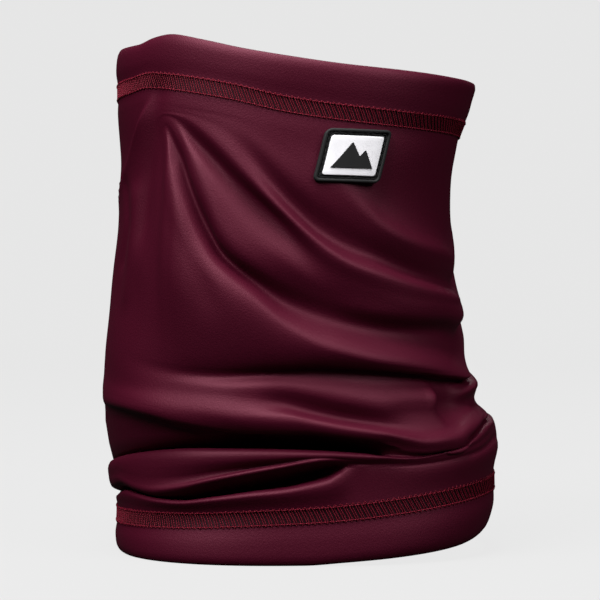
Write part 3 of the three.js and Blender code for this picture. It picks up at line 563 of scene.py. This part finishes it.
STITCH_MM = 2.35
COVER_MM, NEEDLE_MM, LOOPER_MM = 0.18, 0.2, 0.22  # radii of the three kinds of thread
COVER_STEPS, NEEDLE_STEPS, LOOPER_STEPS = 14, 9, 8  # rings of a thread's tube in each stitch
NEEDLE_LEAD = 0.9  # how many stitches one needle line runs ahead of the other
STROKE_AT = [0, 0.37, 0.5, 0.87, 1]  # where in a stitch the cover thread turns,
STROKE_ALONG = [0, 1.5, 1.9, 0.4, 1]  # how many stitches along it is there,
STROKE_ACROSS = [1, 0, 0, 1, 1]  # and which needle line it is at, the lower as 0
PAST_NEEDLES_MM = 0.45  # how far past the needle lines the cover thread turns


def off_cloth(angle, along, lift_mm):
    """Points lift_mm off the cloth's face, with the face's normal at each: the normal is the
    cross product of the surface's steps round and up."""
    here = cloth(angle, along)
    step = 1e-3
    round_step = cloth(angle + step, along) - cloth(angle - step, along)
    up_step = cloth(angle, along + 0.02) - cloth(angle, along - 0.02)
    normal = np.cross(round_step, up_step)
    normal /= np.linalg.norm(normal, axis=-1, keepdims=True)
    return here + normal * np.asarray(lift_mm)[..., None] / 1000, normal


def thread_tube(name, path, normal, radius_mm, sides=6, closed=True, flat=1.0):
    """A thread: a ring of points swept along a path. The ring lies across the path's direction,
    with one axis near the given normal, and is squashed by flat along it. The wall's faces point
    into the thread, and the two end faces of an open one point out of it. The UV map takes the
    thread's length in mm one way, and runs once round it the other way."""
    ahead = np.roll(path, -1, axis=0) - np.roll(path, 1, axis=0)
    if not closed:
        ahead[0], ahead[-1] = path[1] - path[0], path[-1] - path[-2]
    ahead /= np.linalg.norm(ahead, axis=1, keepdims=True) + 1e-12
    across = np.cross(ahead, normal)
    across /= np.linalg.norm(across, axis=1, keepdims=True) + 1e-12
    upright = np.cross(across, ahead)
    turn = (np.arange(sides) / sides * 2 * math.pi)[None, :, None]
    ring = np.cos(turn) * across[:, None, :] + flat * np.sin(turn) * upright[:, None, :]
    points = path[:, None, :] + ring * radius_mm / 1000
    count = len(path)
    faces = grid_faces(count, sides, close_rows=closed, close_columns=True)
    made = new_object(name, points.reshape(-1, 3), faces)
    reach = length_along(path) * 1000
    span = count if closed else count - 1
    total = reach[-1] + (np.linalg.norm(path[0] - path[-1]) * 1000 if closed else 0)
    reach = np.append(reach, total)[: span + 1]
    i, j = np.divmod(np.arange(span * sides), sides)
    u = np.stack([reach[i], reach[i], reach[i + 1], reach[i + 1]], axis=1)
    v = np.stack([j, j + 1, j + 1, j], axis=1) / sides
    layer = made.data.uv_layers.new(name="thread")
    layer.data.foreach_set("uv", np.stack([u, v], axis=-1).astype(np.float32).ravel())
    if not closed:
        close_ends(made, range(sides), reversed(range((count - 1) * sides, count * sides)))
    return made


def close_ends(made, first, last):
    """Closes a piece's two open ends with one flat face each, given the numbers of the points
    round the first end and round the last, each in the order that its face takes them."""
    edit = bmesh.new()
    edit.from_mesh(made.data)
    edit.verts.ensure_lookup_table()
    for end in (first, last):
        edit.faces.new([edit.verts[k] for k in end])
    edit.to_mesh(made.data)
    edit.free()


def length_along(path):
    """How far each point of a path lies along it from the first one, in the path's own unit."""
    return np.concatenate([[0], np.cumsum(np.linalg.norm(np.diff(path, axis=0), axis=1))])


def hem_band(row, across_mm, stitches):
    """Angle and profile position for a count of stitches round the hem, across_mm above the
    band's lower line. The stitches are spaced evenly by the length round the middle of the band."""
    probe = np.linspace(-math.pi, math.pi, 721)
    length = length_along(cloth(probe, np.full(probe.shape, row + 0.5)))
    angle = np.interp((stitches / HEM_STITCHES) % 1 * length[-1], length, probe)
    return angle, row + across_mm / STITCH_GAUGE_MM


def zigzag(turns):
    """The cover thread's path over a number of stitches: how many stitches along, how far
    across the band in mm, and how far off the cloth. Straight pieces join five points of each
    stitch: down and across, along the lower needle line, back up with the same slant, and
    along the upper needle line. A three-point mean rounds the corners."""
    count, across = 0, 0
    for shift, share in ((-0.05, 0.25), (0, 0.5), (0.05, 0.25)):
        whole, part = np.divmod(turns + shift, 1)
        count = count + share * (whole + np.interp(part, STROKE_AT, STROKE_ALONG))
        across = across + share * np.interp(part, STROKE_AT, STROKE_ACROSS)
    half = STITCH_GAUGE_MM / 2
    across = half + (half + PAST_NEEDLES_MM) * (2 * across - 1)
    lift = 0.3 + 0.08 * np.sin(2 * math.pi * turns)
    return count, across, lift


def stitch_line(turns):
    """A needle thread's lift off the cloth in mm along its stitches: up over each stitch and
    down into the cloth between them, by a flattened sine arch."""
    arch = np.abs(np.sin(math.pi * turns)) ** 0.55
    return -0.2 + 0.72 * arch


probe = cloth(np.linspace(-math.pi, math.pi, 361), np.full(361, LOWER_STITCH_ROW + 0.5))
HEM_STITCHES = int(round(length_along(probe)[-1] * 1000 / STITCH_MM))


def thread_material(name, color, dark, roughness, plies_mm):
    """A plied thread: slanting ridges from a wave over the thread's UV map, with painted shade
    darkening the grooves between the plies, which lie plies_mm apart along it."""
    made, nodes, links, shader = new_material(name, Roughness=roughness, Specular_IOR_Level=0.15)
    uv = nodes.new("ShaderNodeUVMap")
    uv.uv_map = "thread"
    split = nodes.new("ShaderNodeSeparateXYZ")
    along = nodes.new("ShaderNodeMath")
    along.operation = "MULTIPLY"
    along.inputs[1].default_value = 2 * math.pi / plies_mm
    around = nodes.new("ShaderNodeMath")
    around.operation = "MULTIPLY_ADD"
    around.inputs[1].default_value = 4 * math.pi
    wave = nodes.new("ShaderNodeMath")
    wave.operation = "SINE"
    level = nodes.new("ShaderNodeMapRange")
    level.inputs["From Min"].default_value = -1
    # painted shade: the dark colour fills the grooves between the plies
    factor, plied = color_mix(nodes, dark, color)
    links.new(uv.outputs["UV"], split.inputs["Vector"])
    links.new(split.outputs["X"], along.inputs[0])
    links.new(split.outputs["Y"], around.inputs[0])
    links.new(along.outputs[0], around.inputs[2])
    links.new(around.outputs[0], wave.inputs[0])
    links.new(wave.outputs[0], level.inputs["Value"])
    links.new(level.outputs["Result"], factor)
    links.new(plied, shader.inputs["Base Color"])
    add_bump(nodes, links, shader, wave.outputs[0], 0.6, 0.0001)
    return made


# the second colour is painted shade for the grooves between the plies
crimson = thread_material("crimson_thread", (0.17, 0.004, 0.02), (0.06, 0.0008, 0.005), 0.6, 0.9)


def sewn_on(piece, material, slot, *nodes_replaced):
    """Gives a piece that is sewn to the cloth, or moulded to one that is, its material, its
    body and the nodes that it takes the place of. The slot argument is not used."""
    piece.data.materials.append(material)
    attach(piece, "root")
    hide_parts(*nodes_replaced)


for hem, row in (("bottom_hem", LOWER_STITCH_ROW), ("top_hem", UPPER_STITCH_ROW)):
    turns = np.arange(HEM_STITCHES * COVER_STEPS) / COVER_STEPS
    count, across, lift = zigzag(turns)
    angle, along = hem_band(row, across, count)
    path, normal = off_cloth(angle, along, lift)
    cover = thread_tube(hem + "_cover_stitch", path, normal, COVER_MM, flat=0.85)
    sewn_on(cover, crimson, "crimson_thread", hem + "_cover_thread")
    turns = np.arange(HEM_STITCHES * NEEDLE_STEPS) / NEEDLE_STEPS
    for line, across_mm, lead in (("lower", 0.0, NEEDLE_LEAD), ("upper", STITCH_GAUGE_MM, 0)):
        angle, along = hem_band(row, np.full(turns.shape, across_mm), turns + lead)
        path, normal = off_cloth(angle, along, stitch_line(turns))
        needle = thread_tube(f"{hem}_{line}_needle_stitches", path, normal, NEEDLE_MM, flat=0.9)
        sewn_on(needle, crimson, "crimson_thread", f"{hem}_{line}_needle_thread")
    turns = np.arange(HEM_STITCHES * LOOPER_STEPS) / LOOPER_STEPS
    wave = np.cos(2 * math.pi * turns)
    angle, along = hem_band(row, STITCH_GAUGE_MM / 2 * (1 + wave), turns + 0.3 * wave)
    depth = -HEM_STACK_MM - 0.5 + 0.12 * np.sin(2 * math.pi * turns)
    path, normal = off_cloth(angle, along, depth)
    looper = thread_tube(hem + "_looper_stitch", path, normal, LOOPER_MM, sides=5)
    sewn_on(looper, crimson, "crimson_thread", hem + "_looper_thread")

# ---------------------------------------------------------------------------------------------
# Back seam. The panel's two side edges meet at the back, drawn slightly in, and the same
# two-needle cover stitch runs up over them, from just above the lower rim to just below the
# upper one.
# ---------------------------------------------------------------------------------------------

SEAM_FROM, SEAM_TO = 5.3, KNOTS - 5.3  # profile positions of its two ends
SEAM_RADIUS_MM = 76.0  # turns the distance across the seam into an angle


def seam_band(across_mm, stitches):
    """Angle and profile position for stitches up the seam, across_mm to one side of its middle."""
    probe = np.linspace(SEAM_FROM, SEAM_TO, 600)
    length = length_along(cloth(np.full(probe.shape, math.pi), probe))
    along = np.interp(stitches / SEAM_STITCHES * length[-1], length, probe)
    return math.pi + across_mm / SEAM_RADIUS_MM, along


probe = cloth(np.full(600, math.pi), np.linspace(SEAM_FROM, SEAM_TO, 600))
SEAM_STITCHES = int(length_along(probe)[-1] * 1000 / STITCH_MM)
sewn = SEAM_STITCHES - 2  # they start half a stitch in, and end one and a half short
turns = np.arange(sewn * COVER_STEPS) / COVER_STEPS + 0.5
count, across, lift = zigzag(turns)
angle, along = seam_band(across - STITCH_GAUGE_MM / 2, count)
path, normal = off_cloth(angle, along, lift)
cover = thread_tube("back_seam_cover_stitch", path, normal, COVER_MM, closed=False, flat=0.85)
sewn_on(cover, crimson, "crimson_thread", "back_seam_cover_thread")
turns = np.arange(sewn * NEEDLE_STEPS + 1) / NEEDLE_STEPS + 0.5
for side, way, lead in (("left", -1, NEEDLE_LEAD), ("right", 1, 0)):
    across = np.full(turns.shape, way * STITCH_GAUGE_MM / 2)
    angle, along = seam_band(across, turns + lead)
    path, normal = off_cloth(angle, along, stitch_line(turns - 0.5))
    name = f"back_seam_{side}_needle_stitches"
    needle = thread_tube(name, path, normal, NEEDLE_MM, closed=False, flat=0.9)
    sewn_on(needle, crimson, "crimson_thread", f"back_seam_{side}_needle_thread")
turns = np.arange(sewn * LOOPER_STEPS) / LOOPER_STEPS + 0.5
wave = np.cos(2 * math.pi * turns)
angle, along = seam_band(STITCH_GAUGE_MM / 2 * wave, turns + 0.3 * wave)
in_lower_hem = smooth((LOWER_STITCH_ROW + 2 - along) * 2)
in_upper_hem = smooth((along - UPPER_STITCH_ROW + 0.3) * 2)
depth = -0.95 - (HEM_STACK_MM - 0.4) * (in_lower_hem + in_upper_hem)
path, normal = off_cloth(angle, along, depth + 0.12 * np.sin(2 * math.pi * turns))
looper = thread_tube("back_seam_looper_stitch", path, normal, LOOPER_MM, sides=5, closed=False)
sewn_on(looper, crimson, "crimson_thread", "back_seam_looper_thread")

# ---------------------------------------------------------------------------------------------
# Badge. A patch moulded in black rubber, a parallelogram with a raised rim, sewn down through
# the channel inside the rim. A white field and a black emblem of two plain peaks are moulded
# onto its floor.
# ---------------------------------------------------------------------------------------------

BADGE_AT = (0.325, 157.0)  # angle and height of its middle
BADGE_OUT_MM = 0.9  # how far the cloth under it stands off the plain tube
BADGE_SIZE_MM = (25.2, 20.6)
BADGE_CORNER_MM = 2.4
BADGE_BORDER_MM = 2.7  # the raised rim and the sewing channel together
SEWING_INSET_MM = 1.83  # the middle of the channel
BADGE_TURN = -0.03  # how far it is turned on the cloth
BADGE_LEAN = 0.16  # how far right it goes for each mm up
BADGE_RADIUS_MM = 74.0  # turns a distance across it into an angle


def on_badge(right, up, lift):
    """A point of the badge from its own flat layout in mm: leaned, turned, then bent round the
    tube by taking the distance across as an arc."""
    right = right + BADGE_LEAN * up
    turned_right = right * math.cos(BADGE_TURN) - up * math.sin(BADGE_TURN)
    turned_up = right * math.sin(BADGE_TURN) + up * math.cos(BADGE_TURN)
    angle = BADGE_AT[0] + turned_right / BADGE_RADIUS_MM
    return tube_point(angle, BADGE_AT[1] + turned_up, BADGE_OUT_MM + lift)


def rounded_outline(size, corner, inset, steps=7):
    """A rectangle with rounded corners, anticlockwise: quarter circles about the four corner
    centres, with the sides between them divided evenly."""
    half = np.array(size) / 2 - inset
    corner = np.maximum(corner - inset, 0.15)
    turn = np.linspace(0, math.pi / 2, steps)
    quarters = []
    for k, signs in enumerate(((1, 1), (-1, 1), (-1, -1), (1, -1))):
        middle = np.array(signs) * (half - corner)
        quarter = turn + k * math.pi / 2
        quarters.append(middle + corner * np.stack([np.cos(quarter), np.sin(quarter)], axis=1))
    outline = []
    share = np.linspace(0, 1, 12)[1:-1, None]
    for k, quarter in enumerate(quarters):
        start, end = quarter[-1], quarters[(k + 1) % 4][0]
        outline += [quarter, start + (end - start) * share]
    return np.concatenate(outline)


def moulding(name, size, corner, profile):
    """A moulded slab: the outline carried through a profile of (inset, lift) steps, and then
    shrunk to the middle at the last one's lift. One flat face closes the first outline and one
    the last."""
    loops = [(rounded_outline(size, corner, inset), lift) for inset, lift in profile]
    last_loop, last_lift = loops[-1]
    loops += [(last_loop * share, last_lift) for share in (0.75, 0.5, 0.25, 0.02)]
    points = np.concatenate([on_badge(*loop.T, lift) for loop, lift in loops])
    count = len(last_loop)
    made = new_object(name, points, grid_faces(len(loops), count, close_columns=True))
    close_ends(made, reversed(range(count)), range(len(points) - count, len(points)))
    made.data.shade_smooth()
    return made


def rubber(name, color, roughness):
    """Moulded rubber: a fine matt grain, and slow cloudy changes of shade and roughness."""
    made, nodes, links, shader = new_material(name, Roughness=roughness, Specular_IOR_Level=0.25)
    place = nodes.new("ShaderNodeTexCoord")
    cloud = nodes.new("ShaderNodeTexNoise")
    cloud.inputs["Scale"].default_value = 160
    cloud.inputs["Detail"].default_value = 3
    darker, lighter = [[min(part * scale, 1) for part in color] for scale in (0.86, 1.08)]
    factor, clouded = color_mix(nodes, darker, lighter)
    spread = nodes.new("ShaderNodeMapRange")
    spread.inputs["To Min"].default_value = roughness - 0.08
    spread.inputs["To Max"].default_value = roughness + 0.1
    grain = nodes.new("ShaderNodeGroup")
    grain.node_tree = grain_group
    grain.inputs["Scale"].default_value = 5200
    add_bump(nodes, links, shader, grain.outputs["Height"], 0.25, 0.00005)
    links.new(place.outputs["Object"], cloud.inputs["Vector"])
    links.new(cloud.outputs["Fac"], factor)
    links.new(clouded, shader.inputs["Base Color"])
    links.new(cloud.outputs["Fac"], spread.inputs["Value"])
    links.new(spread.outputs["Result"], shader.inputs["Roughness"])
    return made


black_rubber = rubber("black_rubber", (0.007, 0.0072, 0.0074), 0.6)
white_rubber = rubber("white_rubber", (0.8, 0.79, 0.82), 0.5)
# the second colour is painted shade for the grooves between the plies
black_thread = thread_material("black_thread", (0.02, 0.02, 0.02), (0.006, 0.006, 0.006), 0.6, 0.7)

# Each profile is (inset, lift) in mm: the base goes up its side, over the rim and down into the
# channel, and the field goes up its side to a flat face with eased edges.
base_profile = [
    (0.25, -1.2), (0.05, -0.4), (0.0, 0.6), (0.08, 1.1), (0.3, 1.42), (0.6, 1.5), (0.95, 1.5),
    (1.2, 1.4), (1.36, 1.15), (1.42, 0.85), (1.55, 0.72), (2.1, 0.7), (2.28, 0.78), (2.4, 0.95),
    (2.6, 1.0),
]
base = moulding("badge_rubber_base", BADGE_SIZE_MM, BADGE_CORNER_MM, base_profile)
sewn_on(base, black_rubber, "black_rubber", "badge_base")
field_size = [side - 2 * BADGE_BORDER_MM for side in BADGE_SIZE_MM]
field_profile = [(0.02, 0.9), (0.0, 1.15), (0.05, 1.34), (0.16, 1.43), (0.35, 1.46)]
field = moulding("badge_white_field", field_size, 1.0, field_profile)
sewn_on(field, white_rubber, "white_rubber", "badge_field")

# The emblem's skyline, as (right, up) in mm from the field's middle, over a flat foot. A grid
# fills the space between them, each column in eight equal steps from the foot to the skyline.
skyline = np.array(
    [
        (-7.6, -4.6), (-5.7, -1.5), (-3.8, 1.7), (-2.0, 4.8), (-1.7, 5.05), (-1.35, 4.85), (0.3, 2.3),
        (1.75, 0.1), (2.0, 0.0), (2.25, 0.2), (3.4, 1.9), (3.7, 2.1), (4.0, 1.9), (5.8, -1.2),
        (7.8, -4.6),
    ]
)
EMBLEM_FOOT_MM = -4.7
EMBLEM_MIDDLE_MM = (0.05, -1.2)  # what it is shrunk towards, (right, up)
EMBLEM_HALF_MM = 4.5  # an inset is taken as a share of this
rights = np.unique(np.concatenate([np.linspace(-7.6, 7.8, 45), skyline[:, 0]]))
crest = np.interp(rights, *skyline.T)
share = np.linspace(0, 1, 9)[:, None]
ups = EMBLEM_FOOT_MM + share * (crest - EMBLEM_FOOT_MM)[None, :]


def emblem_layer(inset, lift):
    """The emblem's grid of points, shrunk towards its middle by an inset and lifted, in mm."""
    keep = 1 - inset / EMBLEM_HALF_MM
    middle_right, middle_up = EMBLEM_MIDDLE_MM
    placed = on_badge(rights * keep + middle_right, (ups - middle_up) * keep + middle_up, lift)
    return placed.reshape(-1, 3)


# Its face, and under that the grid's border twice: once for the bevel and once for the foot of
# the sides, which is sunk in the field.
row_count, column_count = ups.shape
border = np.concatenate(
    [
        np.arange(column_count),
        np.arange(1, row_count) * column_count + column_count - 1,
        (row_count - 1) * column_count + np.arange(column_count - 2, -1, -1),
        np.arange(row_count - 2, 0, -1) * column_count,
    ]
)
layers = [emblem_layer(0.12, 1.84), emblem_layer(0, 1.72)[border], emblem_layer(0, 1.35)[border]]
bevel = len(layers[0]) + np.arange(len(border))
loops = [border, bevel, bevel + len(border)]
faces = [grid_faces(row_count, column_count)]
for upper, lower in zip(loops, loops[1:]):
    faces.append(np.stack([upper, lower, np.roll(lower, -1), np.roll(upper, -1)], axis=1))
emblem = new_object(
    "badge_peaks_emblem", np.concatenate(layers), np.concatenate(faces), smooth_faces=False
)
sewn_on(emblem, black_rubber, "black_rubber", "badge_emblem")

# The sewing thread's running stitches follow the channel, up over each stitch and down into
# the rubber between them.
SEWING_STITCH_MM = 2.3
SEWING_MM = 0.17  # radius of the thread
SEWING_STEPS = 10  # rings of its tube in each stitch
channel = rounded_outline(BADGE_SIZE_MM, BADGE_CORNER_MM, SEWING_INSET_MM, steps=14)
channel = np.concatenate([channel, channel[:1]])
reach = length_along(channel)
stitches = int(round(reach[-1] / SEWING_STITCH_MM))
turns = np.arange(stitches * SEWING_STEPS) / SEWING_STEPS
at = turns / stitches * reach[-1]
right, up = [np.interp(at, reach, channel[:, k]) for k in (0, 1)]
lift = 0.5 + 0.55 * np.abs(np.sin(math.pi * turns)) ** 0.5
path = on_badge(right, up, lift)
normal = on_badge(right, up, lift + 1) - path
normal /= np.linalg.norm(normal, axis=1, keepdims=True)
sewing = thread_tube("badge_sewing_stitches", path, normal, SEWING_MM)
sewn_on(sewing, black_thread, "black_thread", "badge_sewing_thread")

# ---------------------------------------------------------------------------------------------
# Care label. A woven satin ribbon folded double, its cut ends caught in the back seam so that
# it lies inside the tube beside the stitching. It carries no print.
# ---------------------------------------------------------------------------------------------

label_box = [np.array(corner) * 1000 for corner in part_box("care_label")]
LABEL_SIZE_MM = (20.0, 26.0)  # folded: out from the seam, and up
LABEL_MIDDLE_MM = (label_box[0][2] + label_box[1][2]) / 2
LABEL_FROM_SEAM_MM = 3.6
LABEL_INSIDE_MM = 2.9  # from the cloth's outer face in to the label
LABEL_BOW_MM = 0.5
LABEL_FOLD_MM = 0.22  # radius of its fold
LABEL_THICKNESS = 0.00012


def on_label(out, up, lift):
    """A point of the label from its flat layout: out mm from its sewn edge along the tube's
    inside, up mm from its middle and lift mm further in. It bows inwards by half a sine wave
    each way."""
    width, height = LABEL_SIZE_MM
    angle = math.pi - (LABEL_FROM_SEAM_MM + out) / TUBE_RADIUS_MM
    bow = LABEL_BOW_MM * np.sin(out / width * math.pi) * np.cos(up / height * math.pi)
    return tube_point(angle, LABEL_MIDDLE_MM + up, -LABEL_INSIDE_MM - bow - lift)


out_steps = np.linspace(0, LABEL_SIZE_MM[0], 36)
turn = np.linspace(0, math.pi, 7)[1:-1]
under = np.stack([out_steps, np.zeros(36)], axis=1)
over = np.stack([out_steps[::-1], np.full(36, 2 * LABEL_FOLD_MM)], axis=1)
fold_out = LABEL_SIZE_MM[0] + LABEL_FOLD_MM * np.sin(turn)
fold = np.stack([fold_out, LABEL_FOLD_MM - LABEL_FOLD_MM * np.cos(turn)], axis=1)
section = np.concatenate([under, fold, over])
up_steps = np.linspace(-LABEL_SIZE_MM[1] / 2, LABEL_SIZE_MM[1] / 2, 44)
out_grid, up_grid = np.meshgrid(section[:, 0], up_steps)
lift_grid = np.broadcast_to(section[:, 1], out_grid.shape)
label_points = on_label(out_grid, up_grid, lift_grid)
label = new_object("care_label_ribbon", label_points.reshape(-1, 3), grid_faces(*out_grid.shape))
thin = label.modifiers.new("thickness", "SOLIDIFY")
thin.thickness = LABEL_THICKNESS
thin.offset = 0

# Black satin weave: fine level ribs in shade and bump.
satin, nodes, links, shader = new_material(
    "label_satin", Roughness=0.32, Anisotropic=0.4, Sheen_Weight=0.15
)
place = nodes.new("ShaderNodeTexCoord")
ribs = nodes.new("ShaderNodeTexWave")
ribs.bands_direction = "Z"
ribs.inputs["Scale"].default_value = 700
ribs.inputs["Distortion"].default_value = 0.4
factor, ribbed = color_mix(nodes, (0.010, 0.010, 0.011), (0.022, 0.022, 0.024))
links.new(place.outputs["Object"], ribs.inputs["Vector"])
links.new(ribs.outputs["Fac"], factor)
links.new(ribbed, shader.inputs["Base Color"])
add_bump(nodes, links, shader, ribs.outputs["Fac"], 0.035, 0.00005)
label.data.materials.append(satin)
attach(label, "root")
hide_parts("care_label")

# ---------------------------------------------------------------------------------------------
# Stage: a pale floor that sweeps up into the backdrop, soft lights and the camera.
# ---------------------------------------------------------------------------------------------

FLOOR_AT = -0.0002  # a hair under the lower rim
ROOM = 6.0  # how far the floor and the backdrop reach
SWEEP_FROM, SWEEP_RADIUS = 1.5, 0.8  # where the floor starts to curve up, and how roundly
turn = np.linspace(0, math.pi / 2, 12)
sweep = SWEEP_RADIUS * np.stack([np.sin(turn), 1 - np.cos(turn)], axis=1) + (SWEEP_FROM, FLOOR_AT)
side = np.concatenate([[[-ROOM, FLOOR_AT]], sweep, [[SWEEP_FROM + SWEEP_RADIUS, ROOM]]])
across = np.broadcast_to([-ROOM, ROOM], (len(side), 2))
depth, up = [np.repeat(side[:, k : k + 1], 2, axis=1) for k in (0, 1)]
floor_points = np.stack([across, depth, up], axis=-1).reshape(-1, 3)
floor = new_object("floor", floor_points, grid_faces(len(side), 2))
# The camera sees the paper pale and nearly without shadows. Every other ray sees it dark, so
# that it throws hardly any light up onto the cloth.
pale, nodes, links, shader = new_material(
    "pale_paper",
    Base_Color=(0.02, 0.02, 0.02, 1),
    Roughness=1.0,
    Specular_IOR_Level=0.0,
    Emission_Color=(1, 1, 1, 1),
    Emission_Strength=0.78,
)
dark = nodes.new("ShaderNodeBsdfDiffuse")
dark.inputs["Color"].default_value = (0.014, 0.012, 0.012, 1)
ray = nodes.new("ShaderNodeLightPath")
blend = nodes.new("ShaderNodeMixShader")
links.new(ray.outputs["Is Camera Ray"], blend.inputs["Fac"])
links.new(dark.outputs["BSDF"], blend.inputs[1])
links.new(shader.outputs["BSDF"], blend.inputs[2])
links.new(blend.outputs["Shader"], nodes["Material Output"].inputs["Surface"])
floor.data.materials.append(pale)

CAMERA_BACK, CAMERA_UP = 1.15, 0.130
LOOK_AT_UP = 0.1000  # the height that the camera and the lights are aimed at


def soft_light(name, place, size, power):
    """A rectangular lamp of a size in metres and a power in watts, aimed at the garment."""
    made = bpy.data.lights.new(name, "AREA")
    made.shape = "RECTANGLE"
    made.size, made.size_y = size
    made.energy = power
    lamp = bpy.data.objects.new(name, made)
    bpy.context.collection.objects.link(lamp)
    aim = np.array((0, 0, LOOK_AT_UP)) - np.array(place)
    pitch = math.acos(-aim[2] / np.linalg.norm(aim))
    lamp.location = place
    lamp.rotation_euler = (pitch, 0, math.atan2(-aim[0], aim[1]))


soft_light("overhead", (-0.12, -0.3, 1.4), (0.7, 0.6), 27)
soft_light("front_left", (-0.7, -0.9, 1.2), (0.8, 0.6), 31)
soft_light("behind", (0.1, 1.2, 1.5), (0.8, 0.6), 9)
soft_light("front_right", (0.95, -0.85, 0.95), (0.8, 0.7), 15)

world = bpy.data.worlds.new("studio")
bpy.context.scene.world = world
world.use_nodes = True
sky = world.node_tree.nodes["Background"]
sky.inputs["Color"].default_value = (0.9, 0.92, 0.95, 1)
sky.inputs["Strength"].default_value = 0.035
bpy.context.scene.view_settings.view_transform = "Standard"

camera_data = bpy.data.cameras.new("camera")
camera_data.lens = 169
camera = bpy.data.objects.new("camera", camera_data)
bpy.context.collection.objects.link(camera)
camera.location = (0, -CAMERA_BACK, CAMERA_UP)
camera.rotation_euler = (math.pi / 2 - math.atan((CAMERA_UP - LOOK_AT_UP) / CAMERA_BACK), 0, 0)
bpy.context.scene.camera = camera
